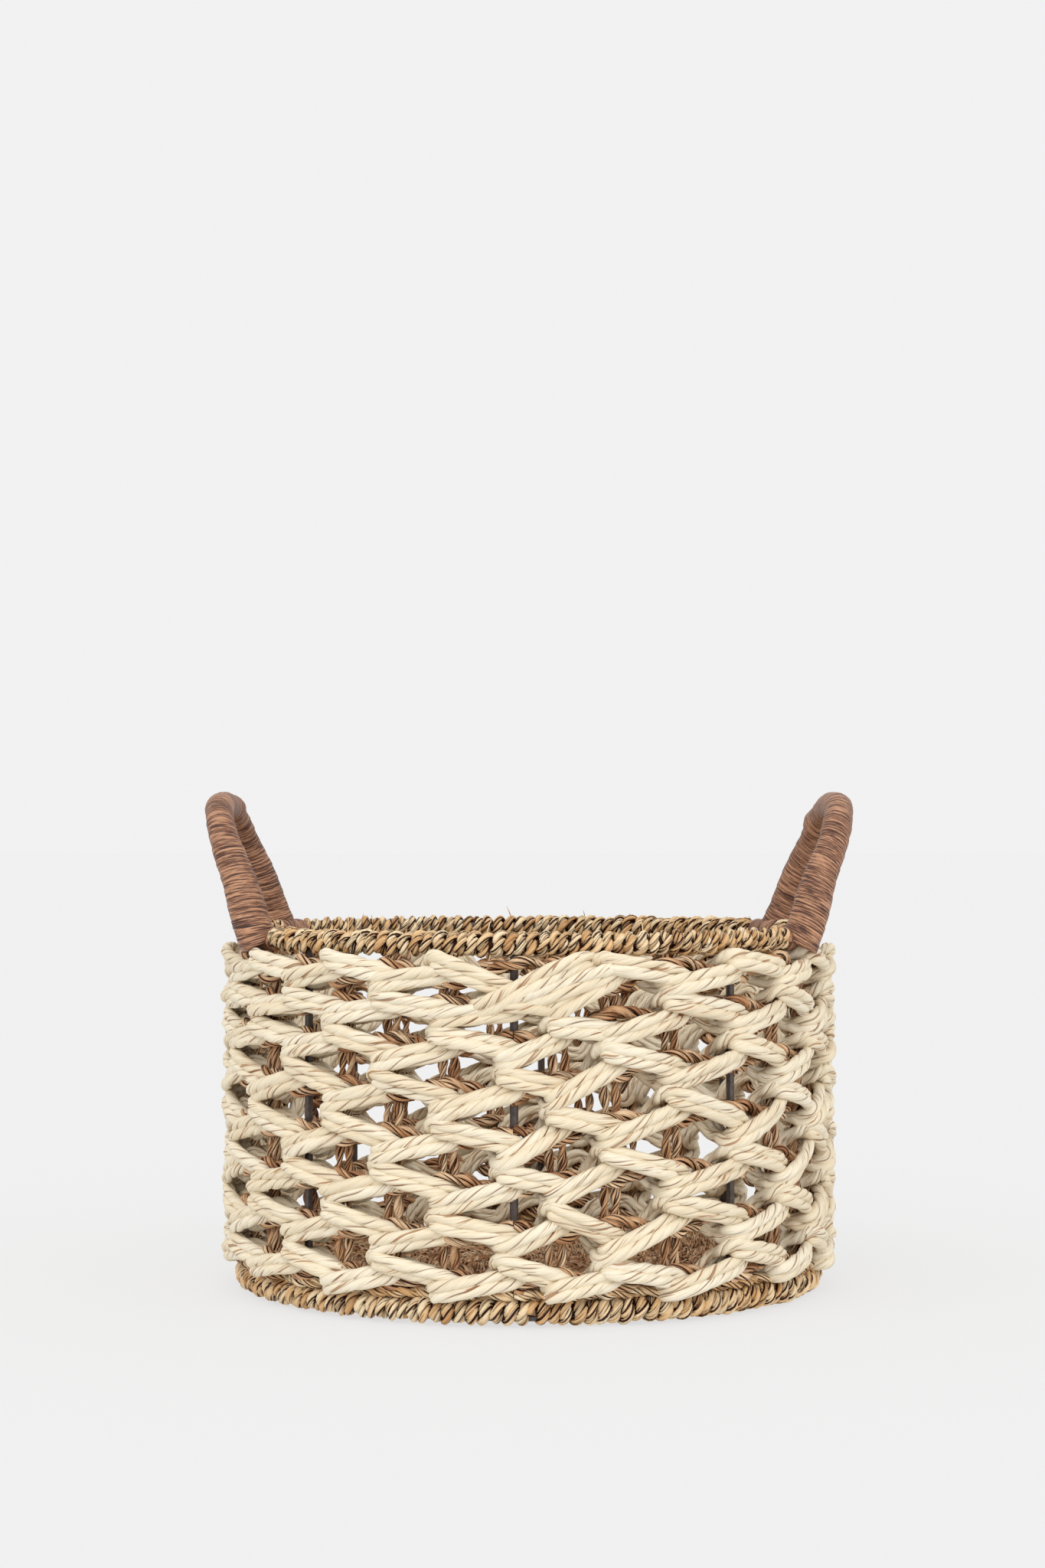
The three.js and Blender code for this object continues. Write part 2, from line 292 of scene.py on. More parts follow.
# Section of a ply made of three paper strands: a narrow fold, a shoulder and a low crown, three times.
PAPER_THIRD = np.radians([0, 10, 32, 60, 88, 110])
PAPER_COLUMNS = np.concatenate([PAPER_THIRD + k * TAU / 3 for k in range(3)])
PAPER_CROWN = np.tile([0.0, 0.0, 0.06, 0.11, 0.06, 0.0], 3)
PAPER_FOLD = np.tile([1.0, 0.25, 0, 0, 0, 0.25], 3)
FOLD_DEPTH = 0.22                # share of the ply's radius, like the crown
FOLD_STRENGTH = 0.62             # on average
PAPER_SEAM = (0.8, 0.97)         # where painted shade in the crease between the plies starts and is full
PAPER_SEAM_SHADE = 0.7
# How a ply varies along its length: by how much, and over what length.
PAPER_ROLL = (1.0, 18 * MM)
PAPER_SWELL = (0.07, 14 * MM)
PAPER_RIPPLE = (0.055, 6 * MM)
PAPER_FOLDING = (0.9, 8 * MM)
PAPER_TONE = (0.5, 45 * MM)


def paper_ply(mesh, centre, side, out, away, radius, rng):
    """One ply of rope: its folds run round it, and each comes and goes along it."""
    fibre_start = rng.uniform(0, FIBRE_SHIFT)
    s = arc_length(centre)
    turn = -TAU * s / PLY_PITCH + rng.uniform(0, TAU) + wobble(s, *PAPER_ROLL, rng)
    swell = 1 + wobble(s, *PAPER_SWELL, rng)
    ripple = wobble(s, *PAPER_RIPPLE, rng, (len(PAPER_COLUMNS),))
    strength = np.clip(FOLD_STRENGTH + wobble(s, *PAPER_FOLDING, rng, (3,)), 0, 1)
    fold = PAPER_FOLD * np.repeat(strength, len(PAPER_THIRD), axis=1)
    reach = radius[:, None] * (swell[:, None] + PAPER_CROWN + ripple - FOLD_DEPTH * fold)
    # Painted shade in the seam where the plies touch, and in the folds between strands.
    seam = seam_shade(turn[:, None] + PAPER_COLUMNS, away[:, None], *PAPER_SEAM)
    groove = np.maximum(fold, PAPER_SEAM_SHADE * seam)
    tone = 0.5 + wobble(s, *PAPER_TONE, rng)
    sweep(mesh, centre, side, out, turn, PAPER_COLUMNS, reach, groove, tone, fibre_start)


def junction_heights():
    """Height where the crest of a row meets the trough of the next, at each stake.

    Entry [i, k] lies between row i - 1 and row i; the first is on the base, the last under the rim.
    """
    rng = random_for("junctions")
    edges = np.empty((ROWS + 1, STAKES))
    edges[0] = BASE_TOP + rng.uniform(*BASE_GAP, STAKES)
    rim = RIM_UNDERSIDE + rng.uniform(*RIM_GAP, STAKES)
    for i in range(1, ROWS):
        gap = ROW_Z[i] - ROW_Z[i - 1]
        uneven = np.clip((gap - TIGHT_GAP) * UNEVEN_SHARE, 0, UNEVEN_MOST)
        edges[i] = (ROW_Z[i] + ROW_Z[i - 1]) / 2 + rng.uniform(-1, 1, STAKES) * uneven
    missing = np.isnan(edges[TOP_ROW])
    edges[TOP_ROW, missing] = rim[missing]
    edges[ROWS] = rim
    return edges


EDGES = junction_heights()


def side_of(row, stake):
    """1 where the row has a crest, -1 where it has a trough."""
    return 1 if (stake + row) % 2 == 0 else -1


def start_height(row, stake):
    """Height of the middle of the rope where a float begins."""
    side = side_of(row, stake)
    drop = LAST_TROUGH_DROP if (row, stake) == (TOP_ROW, STAKES) else 0
    return EDGES[row + (side > 0), stake % STAKES] - side * ROPE_HALF - drop


def float_height(row, stake, share):
    """Height along the visible part of a float: share 0 at its first stake, 1 at its second."""
    start = start_height(row, stake)
    way = start_height(row, stake + 1) - start
    tail = CREST_TAIL if way > 0 else TROUGH_TAIL
    shown = max(abs(way) - tail, (1 - TAIL_SHARE) * abs(way))
    return start + math.copysign(shown, way) * share


def float_knots(row, stake):
    """A rope's way over two stakes and behind the third, in quarter stakes: radius, height, lead.

    Once it slips under the next float it follows that one, and then the one after. Then it turns
    to where its own next float starts, and comes straight out there: the lead moves its last
    knots towards that stake. Above_ring, the distance outside the ring's radius, is in mm.
    """
    above_ring = [11.6, 11.5, 10.9, 9.2, 6.2, 1.8, -3.0, -5.4, -5.9, -5.9, -5.0, 8.4]
    lead = [0, 0, 0, 0, 0, 0, 0, 0, 0, 0.16, 0.24, 0.06]
    shown = [float_height(row, stake, share) for share in (0, 0.25, 0.5, 0.75, 1)]
    under_next = [float_height(row, stake + 1, share) for share in (0.25, 0.5, 0.75)]
    under_second = [float_height(row, stake + 2, share) for share in (0, 0.4)]
    next_start = start_height(row, stake + REPEAT)
    turning = 0.25 * float_height(row, stake + 2, 0.7) + 0.75 * next_start
    emerging = float_height(row, stake + REPEAT, -0.15)
    heights = shown + under_next + under_second + [turning, emerging]
    sag = [INNER_SAG * (above_ring[0] - above) * MM for above in above_ring[:-1]] + [0]
    return [
        (RING_RADIUS + above * MM, height - drop, ahead)
        for above, height, drop, ahead in zip(above_ring, heights, sag, lead)
    ]


def unrolled_angle(step):
    """Angle at a fractional stake number, which may run on over several turns."""
    low = np.floor(step).astype(int)
    turned = STAKE_ANGLE[low % STAKES] + TAU * (low // STAKES)
    after = STAKE_ANGLE[(low + 1) % STAKES] + TAU * ((low + 1) // STAKES)
    return turned + (after - turned) * (step - low)


def rope_path(knots, steps, first_stake):
    """Path through the knots of a rope's floats, at stake numbers counted from the first one."""
    radius, height, lead = closed_curve(knots, steps * KNOTS_PER_STAKE).T
    return resample(ring_path(radius, unrolled_angle(first_stake + steps + lead), height))


def closed_row_path(row):
    """One rope, three times round, its ends meeting behind a stake, elsewhere in each row."""
    knots = sum([float_knots(row, REPEAT * number) for number in range(STAKES)], [])
    ends = REPEAT * (5 * row + 3) + 2
    steps = np.arange(0, REPEAT * STAKES + 0.5 / STEPS_PER_STAKE, 1 / STEPS_PER_STAKE)
    return rope_path(knots, ends + steps, 0)


def top_row_paths():
    """Three ropes that start behind the first stakes of the row and run out at its last ones."""
    paths = []
    for start in range(TOP_ROW_START, TOP_ROW_START + REPEAT):
        stakes = range(start, STAKES, REPEAT)
        knots = sum([float_knots(TOP_ROW, stake) for stake in stakes], [])
        steps = np.arange(0, REPEAT * len(stakes) - RUN_OUT, 1 / STEPS_PER_STAKE)
        paths.append(rope_path(knots, steps, start))
    return paths


WEAVE_END_STATIONS = 80          # before a path is divided evenly into steps
# Where the weave ends, two ropes run up side by side to the rim. Each knot is an angle in
# degrees, a distance outside the ring and a height, both in mm.
WEAVE_END = [
    [
        (-11.5, -4, 173), (-10.2, 6, 170), (-7.8, 12.6, 171), (0, 13.4, 183), (6, 13, 191.5),
        (9.5, 9, 195), (13, -2, 194),
    ],
    [
        (-5.5, -4, 177), (-3.8, 7, 174.5), (-1.5, 12.6, 174.5), (7, 13.2, 182.5), (13, 11.6, 188),
        (17, 6, 190), (21, -4, 188),
    ],
]


def weave_end_path(knots):
    """Path of one of these ropes; it stops just short of its last knot."""
    at = np.linspace(0, len(knots) - 1.001, WEAVE_END_STATIONS)
    angle, above, height = open_curve(np.array(knots, float), at).T
    return resample(ring_path(RING_RADIUS + above * MM, np.radians(angle), height * MM))


def row_paths(row):
    if row == TOP_ROW:
        return top_row_paths() + [weave_end_path(knots) for knots in WEAVE_END]
    return [closed_row_path(row)]


def squeeze(above_ring):
    """Size of the rope: full outside the stakes, squeezed inside them."""
    outside = np.clip((above_ring - SQUEEZE_END) / SQUEEZE_RANGE, 0, 1)
    return SQUEEZED + (1 - SQUEEZED) * outside * outside * (3 - 2 * outside)


def build_rope_row(row, material):
    rng = random_for("rope", row)
    mesh = CordMesh()
    for path in row_paths(row):
        side, out = section_axes(path, radial(path))
        size = squeeze(np.linalg.norm(path[:, :2], axis=1) - RING_RADIUS)
        sway = wobble(arc_length(path), *ROPE_SWAY, rng)
        for ply in range(2):
            away = sway + ply * math.pi
            centre = offset_path(path, side, out, away, PLY_OFFSET * size)
            paper_ply(mesh, centre, side, out, away, PLY_RADIUS * size, rng)
    return mesh.piece(f"paper_rope_{row + 1}", material)

# ---------------------------------------------------------------- seagrass

# Cords of two plies: radius of a ply, distance of the plies from the middle, and pitch.
WEFT_CORD = (2.1 * MM, 1.75 * MM, 27 * MM)
STAKE_CORD = (1.6 * MM, 1.3 * MM, 26 * MM)
RIM_CORD = (2.2 * MM, 1.584 * MM, 15 * MM)
BASE_CORD = (2.5 * MM, 1.3 * MM, 20 * MM)
BASE_PAIR_CORD = (1.8 * MM, 1.4 * MM, 24 * MM)
MAT_CORD = (2.0 * MM, 1.4 * MM, 11 * MM)
# Coils: pitch along the ring, and distance of the cord from the middle of the ring.
RIM_COIL = (6.2 * MM, 3.9 * MM)
BASE_COIL = (6.6 * MM, 4.0 * MM)
BASE_COIL_Z = 8.4 * MM
CORE_RADIUS = 3.2 * MM
CORE_STATIONS = 240
CORE_COLUMNS = 8
STATIONS_PER_TURN = 18

# Section of a ply made of folded leaf: a narrow crease and a rounded leaf back, several times.
LEAF_BACK = np.array([0, 0.14, 0.5, 0.8])
LEAF_CREASE = np.array([1.0, 0.2, 0, 0.2])
CREASE_DEPTH = 0.35              # share of the ply's radius
CREASE_STRENGTH = 0.75           # on average
LEAF_SEAM = (0.7, 0.95)          # where painted shade in the crease between the plies starts and is full
INNER_SHADE_START = 0.1               # sine of the section angle at which painted shade starts on a coil's inner side
INNER_SHADE_LENGTH = 0.5              # and by how much less it is all painted shade
# How a ply varies along its length: by how much, and over what length.
LEAF_CREASING = (0.8, 11 * MM)
LEAF_BULGE = (0.16, 9 * MM)
LEAF_SWELL = (0.12, 16 * MM)
LEAF_ROLL = (0.5, 12 * MM)
LEAF_TONE = (0.5, 22 * MM)
CORD_TWIST = (0.3, 20 * MM)
COIL_SWELL = (0.07, 6 * MM)
# How a coil's turns bunch up: by how much of a turn, and how many times for each turn.
COIL_BUNCHING = [(0.12, 0.7), (0.5, 0.15)]


def leaf_ply(mesh, centre, side, out, radius, away, rng, folds, shade_inside):
    """A ply of folded leaf: its creases come and go, and its backs swell and shrink along it."""
    s = arc_length(centre)
    columns = len(LEAF_BACK)
    around = ((np.arange(folds)[:, None] + LEAF_BACK) * TAU / folds).ravel()
    strength = np.clip(CREASE_STRENGTH + wobble(s, *LEAF_CREASING, rng, (folds,)), 0, 1)
    crease = np.tile(LEAF_CREASE, folds) * np.repeat(strength, columns, axis=1)
    bulge = np.repeat(wobble(s, *LEAF_BULGE, rng, (folds,)), columns, axis=1)
    swell = 1 + wobble(s, *LEAF_SWELL, rng)
    reach = radius * (swell[:, None] + bulge - CREASE_DEPTH * crease)
    turn = away + rng.uniform(0, TAU) + wobble(s, *LEAF_ROLL, rng)
    angle = turn[:, None] + around
    # Painted shade in the creases and where the plies touch; on a coil also on the cord's inner side,
    # towards the ring.
    groove = np.maximum(crease, seam_shade(angle, away[:, None], *LEAF_SEAM))
    if shade_inside:
        inner = np.clip((INNER_SHADE_START - np.sin(angle)) / INNER_SHADE_LENGTH, 0, 1)
        groove = np.maximum(groove, inner)
    tone = 0.5 + wobble(s, *LEAF_TONE, rng)
    sweep(mesh, centre, side, out, turn, around, reach, groove, tone, rng.uniform(0, FIBRE_SHIFT))


def leaf_cord(mesh, path, outward, radius, offset, pitch, rng, folds=4, shade_inside=False):
    """Two leaf plies twisted round each other; a cord coiled round a ring can get painted shade on its
    inner side.
    """
    side, out = section_axes(path, outward)
    s = arc_length(path)
    twist = TAU * s / pitch + rng.uniform(0, TAU) + wobble(s, *CORD_TWIST, rng)
    for ply in range(2):
        away = twist + ply * math.pi
        centre = offset_path(path, side, out, away, offset)
        leaf_ply(mesh, centre, side, out, radius, away, rng, folds, shade_inside)


WEFT_DEPTH = 5.2 * MM            # a cord is this far outside the ring's radius, then inside
BELOW_CREST = 4.2 * MM           # below the middle of the row at its crests
ABOVE_TROUGH = 3.6 * MM          # and above it at its troughs
ABOVE_LAST_TROUGH = 6.5 * MM     # where no row is above it
BELOW_RIM = 3.5 * MM
WEFT_UNEVEN = 0.6 * MM
TOP_WEFT_END = 3                 # the top row's weft runs on past the front, to before this stake


def weft_knot(row, stake, outside):
    """The weft hugs the rope row, and fills in under the rim where no row is above it."""
    here = stake % STAKES
    top = row == TOP_ROW
    crest = side_of(row, stake) > 0
    if stake > STAKES or (top and np.isnan(ROW_Z[row, here])):
        height = RIM_UNDERSIDE - BELOW_RIM
    elif not crest and (top or np.isnan(ROW_Z[row + 1, here])):
        height = ROW_Z[row, here] + ABOVE_LAST_TROUGH
    else:
        height = ROW_Z[row, here] + (-BELOW_CREST if crest else ABOVE_TROUGH)
    return RING_RADIUS + (WEFT_DEPTH if outside else -WEFT_DEPTH), height


def build_weft_row(row, material):
    """Two cords twined round the stakes: each is outside every second one."""
    rng = random_for("weft", row)
    closed = row != TOP_ROW
    stakes = range(STAKES) if closed else range(TOP_ROW_START, STAKES + TOP_WEFT_END)
    last = len(stakes) + 0.5 / STEPS_PER_STAKE if closed else len(stakes) - 1
    steps = np.arange(0, last, 1 / STEPS_PER_STAKE)
    mesh = CordMesh()
    for cord in range(2):
        knots = np.array([weft_knot(row, stake, (stake + cord) % 2 == 0) for stake in stakes])
        knots[:, 1] += rng.uniform(-WEFT_UNEVEN, WEFT_UNEVEN, len(knots))
        radius, height = closed_curve(knots, steps).T
        path = resample(ring_path(radius, unrolled_angle(stakes[0] + steps), height))
        leaf_cord(mesh, path, radial(path), *WEFT_CORD, rng)
    return mesh.piece(f"seagrass_weft_{row + 1}", material)


STAKE_OVERRUN = 2 * MM           # the cords run this far past the CAD stake at both ends
PINCHED = 2.3 * MM               # distance of each cord from the middle behind a row
SPREAD = 1.1 * MM                # and this much more where the nearest row is SPREAD_AT away
SPREAD_AT = 12 * MM
STAKE_LEAN = (1.2 * MM, 60 * MM)
STAKE_CORD_SWAY = (0.3 * MM, 15 * MM)


def build_stake(stake, material):
    """Two cords side by side, pinched together behind each row and apart between rows."""
    rng = random_for("stake", stake)
    node = stake_node(stake)
    low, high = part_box(node)
    angle = STAKE_ANGLE[stake]
    tangent = np.array([math.cos(angle), math.sin(angle), 0])
    outward = np.array([math.sin(angle), -math.cos(angle), 0])
    z = np.arange(low.z - STAKE_OVERRUN, high.z + STAKE_OVERRUN, STATION_STEP)
    nearest = np.nanmin(np.abs(z[:, None] - ROW_Z[None, :, stake]), 1)
    apart = PINCHED + SPREAD * np.clip(nearest / SPREAD_AT, 0, 1)
    lean = wobble(z, *STAKE_LEAN, rng)
    mesh = CordMesh()
    for sign in (-1, 1):
        across = sign * apart + lean + wobble(z, *STAKE_CORD_SWAY, rng)
        path = outward * RING_RADIUS + tangent * across[:, None]
        path[:, 2] = z
        leaf_cord(mesh, path, np.broadcast_to(outward, path.shape), *STAKE_CORD, rng)
    return mesh.piece(f"seagrass_{node}", material)


def coil_path(start, end, z, pitch, turn_radius, rng):
    """Path coiled round a ring from one angle to the other, and its direction off the ring."""
    turns = (end - start) * RING_RADIUS / pitch
    steps = np.linspace(0, 1, int(abs(turns) * STATIONS_PER_TURN))
    angle = start + (end - start) * steps
    coil = TAU * turns * steps
    for share, times in COIL_BUNCHING:
        coil += wobble(steps, share * TAU, 1 / max(4, turns * times), rng)
    reach = turn_radius * (1 + wobble(RING_RADIUS * angle, *COIL_SWELL, rng))
    path = ring_path(RING_RADIUS + reach * np.cos(coil), angle, z + reach * np.sin(coil))
    return path, unit(path - ring_path(RING_RADIUS, angle, z))


def shade_core(mesh, start, end, z):
    """A dark core under a coil: painted shade that shows only between its turns."""
    path = ring_path(RING_RADIUS, np.linspace(start, end, CORE_STATIONS), z)
    side, out = section_axes(path, upward(path))
    around = np.arange(CORE_COLUMNS) * TAU / CORE_COLUMNS
    reach = np.full((CORE_STATIONS, CORE_COLUMNS), CORE_RADIUS)
    zeros = np.zeros(CORE_STATIONS)
    # Its whole surface gets painted shade.
    sweep(mesh, path, side, out, zeros, around, reach, np.ones(CORE_COLUMNS), zeros)


END_TAPER = np.array([0.45, 0.4, 0.3, 0.12]) * MM
END_COLUMNS = 4
END_LENGTH = (5 * MM, 10 * MM)
END_TONE = 0.6
END_LEAN = (0.2, 1.2)            # along the coil, for each part away from it
END_CURL = 0.3                   # most share of its length by which an end bends aside
ENDS_PER_RADIAN = 9


def leaf_ends(mesh, path, outward, count, rng):
    """Short loose ends of leaf that stand off a coil."""
    stations = len(END_TAPER)
    share = np.linspace(0, 1, stations)[:, None]
    around = np.arange(END_COLUMNS) * TAU / END_COLUMNS
    reach = np.repeat(END_TAPER[:, None], END_COLUMNS, 1)
    zeros = np.zeros(stations)
    tone = np.full(stations, END_TONE)
    for station in rng.integers(2, len(path) - 2, count):
        along = unit(path[station + 1] - path[station - 1])
        heading = unit(outward[station] + along * rng.uniform(*END_LEAN))
        length = rng.uniform(*END_LENGTH)
        curl = rng.uniform(-END_CURL, END_CURL, 3) * share**2
        centre = path[station] + length * (share * heading + curl)
        side, out = section_axes(centre, np.broadcast_to(np.cross(heading, along), centre.shape))
        sweep(mesh, centre, side, out, zeros, around, reach, np.zeros(END_COLUMNS), tone)


# Parts of the rim binding between the handle feet: degrees of the middle, and to each end.
RIM_PARTS = [("front", 0, 58.8), ("right", 90, 21.8), ("back", 180, 58.8), ("left", 270, 21.8)]


def build_rim_wrap(number, material):
    """The coil over one part of the rim."""
    rng = random_for("rim", number)
    side, centre, half = RIM_PARTS[number]
    start, end = math.radians(centre - half), math.radians(centre + half)
    path, outward = coil_path(start, end, RIM_Z, *RIM_COIL, rng)
    mesh = CordMesh()
    leaf_cord(mesh, path, outward, *RIM_CORD, rng, folds=3, shade_inside=True)
    shade_core(mesh, start, end, RIM_Z)
    leaf_ends(mesh, path, outward, int((end - start) * ENDS_PER_RADIAN), rng)
    return mesh.piece(f"seagrass_rim_wrap_{side}", material)


PAIR_ABOVE_COIL = 9.2 * MM
PAIR_DEPTH = 5 * MM
PAIR_UNEVEN = (0.8 * MM, 3)      # over so many stakes


def build_base(material):
    """The base ring's coil, and a pair of cords twined round the stakes on top of it."""
    rng = random_for("base")
    mesh = CordMesh()
    path, outward = coil_path(0, TAU, BASE_COIL_Z, *BASE_COIL, rng)
    leaf_cord(mesh, path, outward, *BASE_CORD, rng, folds=3, shade_inside=True)
    shade_core(mesh, 0, TAU, BASE_COIL_Z)
    steps = np.arange(0, STAKES + 0.5 / STEPS_PER_STAKE, 1 / STEPS_PER_STAKE)
    for cord in range(2):
        outside = np.cos(math.pi * (steps + cord))
        height = BASE_COIL_Z + PAIR_ABOVE_COIL + wobble(steps, *PAIR_UNEVEN, rng)
        path = ring_path(RING_RADIUS + PAIR_DEPTH * outside, unrolled_angle(steps), height)
        path = resample(path)
        leaf_cord(mesh, path, radial(path), *BASE_PAIR_CORD, rng)
    return mesh.piece("seagrass_base_wrap", material)


MAT_PITCH = 4.4 * MM             # from one round to the next
MAT_EDGE = 2.6 * MM              # the outermost round is this far inside the CAD disc
MAT_STEP = 2.6 * MM
MAT_HOLE = 2 * MM
MAT_LIFT = 1.5 * MM
EVERY_SPOKE = 80 * MM            # outside this radius every stake is a spoke
SECOND_SPOKE = 35 * MM           # and outside this one every second
MAT_KNOBS = (0.5 * MM, 0.2)      # over so many radians


def mat_spokes(radius):
    """The floor's spokes are every stake at the edge, then every second and every fourth."""
    if radius > EVERY_SPOKE:
        return STAKES
    return STAKES // 2 if radius > SECOND_SPOKE else STAKES // 4


def build_floor(material):
    """Rounds of twined cord, raised and sunk alternately over the spokes."""
    rng = random_for("floor")
    low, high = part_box("floor_mat")
    outer = (high.x - low.x) / 2 - MAT_EDGE
    middle_z = (low.z + high.z) / 2
    mesh = CordMesh()
    for radius in np.arange(outer, MAT_HOLE, -MAT_PITCH):
        count = max(12, int(TAU * radius / MAT_STEP))
        angle = np.linspace(0, TAU, count + 1)
        sunk = math.pi * round(radius / MAT_PITCH)
        lift = MAT_LIFT * np.cos(angle * mat_spokes(radius) / 2 + sunk)
        path = ring_path(radius, angle, middle_z + lift + wobble(angle, *MAT_KNOBS, rng))
        leaf_cord(mesh, path, upward(path), *MAT_CORD, rng, folds=3)
    return mesh.piece("seagrass_floor", material)

# ---------------------------------------------------------------- handles

GRIP_RADIUS = 8 * MM
FOOT_FLARE = 3.2 * MM            # the binding is this much thicker at the foot
FLARE_LENGTH = 45 * MM
KNOT_SHARE = {"left": 0.62, "right": 0.7}    # place of the knot along each handle
KNOT_HEIGHT = 1.5 * MM
KNOT_LENGTH = 5 * MM
LEG_STRIP = (9 * MM, 0.6 * MM)   # width of the strip's turns, and step from one to the next
FOOT_STRIP = (7 * MM, 0.6 * MM)
LEG_STEP = 0.8 * MM
LEG_COLUMNS = 40
FOOT_RADIUS = 6.8 * MM
FOOT_SPAN = math.radians(4.2)    # the binding covers this much of the rim on both sides of a foot
FOOT_STATIONS = 44
HANDLE_STATIONS = 400            # before it is divided evenly into steps
FOOT_COLUMNS = 32
LEG_UNEVEN = (0.35 * MM, 11 * MM)
STRIP_DRIFT = (0.6 * MM, 30 * MM)
STRIP_UNEVEN = (0.18 * MM, 9 * MM)
STRIP_TONE = (0.5, 12 * MM)
BELOW_MIDDLE = 20 * MM           # sections face away from a point this far below a handle's middle
STRIP_EDGE = 0.9                 # from this share of a turn's width on, its edge gets painted shade
STRIP_PROUD = (0.4, 1.0)         # least and most share of the step by which a turn stands proud
STRIP_SHIFT = 10                 # each sleeve has its own place in so many metres of pattern
# Half of a handle's centreline, foot to grip middle: the CAD handle's own curve.
HANDLE_HALF = np.array([
    [151.5, -76.0, 200], [156.5, -75.0, 212], [164.0, -69.0, 236], [173.0, -60.0, 258],
    [177.5, -47.0, 272], [179.5, -27.0, 278.5], [179.5, 0, 279.5],
]) * MM


def handle_centreline(side):
    half = HANDLE_HALF * [side, 1, 1]
    knots = np.vstack([half, half[-2::-1] * [1, -1, 1]])
    return open_curve(knots, np.linspace(0, len(knots) - 1, HANDLE_STATIONS))


def wound_strip(mesh, path, outward, radius, lap, step, rng, columns):
    """Sleeve of overlapping turns of strip: each turn's edge stands a little proud of the next."""
    side, out = section_axes(path, outward)
    s = arc_length(path)
    angle = np.arange(columns) * TAU / columns
    turn_at = (s + wobble(s, *STRIP_DRIFT, rng))[:, None] / lap + angle[None, :] / TAU
    ramp = turn_at - np.floor(turn_at)
    proud = rng.uniform(*STRIP_PROUD, int(turn_at.max()) + 2)
    size = proud[np.floor(turn_at).astype(int)]
    reach = radius[:, None] + step * size * (ramp - 0.5)
    reach += wobble(s, *STRIP_UNEVEN, rng, (columns,))
    # Painted shade on the proud edge of each turn, where it steps down to the next.
    groove = np.clip((ramp - STRIP_EDGE) / (1 - STRIP_EDGE), 0, 1) * size
    spoke = np.cos(angle)[None, :, None] * side[:, None] + np.sin(angle)[None, :, None] * out[:, None]
    points = path[:, None] + reach[..., None] * spoke
    fibre = np.empty(points.shape)
    fibre[..., 0] = radius[:, None] * angle[None, :]
    fibre[..., 1] = turn_at * lap
    fibre[..., 2] = rng.uniform(0, STRIP_SHIFT)
    tone = 0.5 + wobble(s, *STRIP_TONE, rng)
    mesh.add(points, fibre, groove, tone)


def leg_radius(s, name, rng):
    """Radius of the binding along a handle: thick feet, a knot, and a little unevenness."""
    from_foot = np.minimum(s, s[-1] - s)
    from_knot = s - s[-1] * KNOT_SHARE[name]
    radius = GRIP_RADIUS + FOOT_FLARE * np.exp(-(from_foot / FLARE_LENGTH) ** 2)
    radius += KNOT_HEIGHT * np.exp(-(from_knot / KNOT_LENGTH) ** 2)
    return radius + wobble(s, *LEG_UNEVEN, rng)


def build_handle(name, material):
    """Strip wound round a handle, and round the rim at each of its feet."""
    side = 1 if name == "right" else -1
    rng = random_for("handle", side > 0)
    path = resample(handle_centreline(side), LEG_STEP)
    inside = path.mean(0) * [1, 0, 1] - [0, 0, BELOW_MIDDLE]
    mesh = CordMesh()
    radius = leg_radius(arc_length(path), name, rng)
    wound_strip(mesh, path, unit(path - inside), radius, *LEG_STRIP, rng, LEG_COLUMNS)
    for x, y, _ in (path[0], path[-1]):
        foot = math.atan2(x, -y)
        angle = np.linspace(foot - FOOT_SPAN, foot + FOOT_SPAN, FOOT_STATIONS)
        ring = ring_path(RING_RADIUS, angle, RIM_Z)
        radius = np.full(FOOT_STATIONS, FOOT_RADIUS)
        wound_strip(mesh, ring, upward(ring), radius, *FOOT_STRIP, rng, FOOT_COLUMNS)
    return mesh.piece(f"handle_binding_{name}", material)

# ---------------------------------------------------------------- materials

def srgb(r, g, b):
    def linear(c):
        c /= 255
        return c / 12.92 if c <= 0.04045 else ((c + 0.055) / 1.055) ** 2.4
    return (linear(r), linear(g), linear(b), 1.0)


def grey(value):
    return (value, value, value, 1.0)


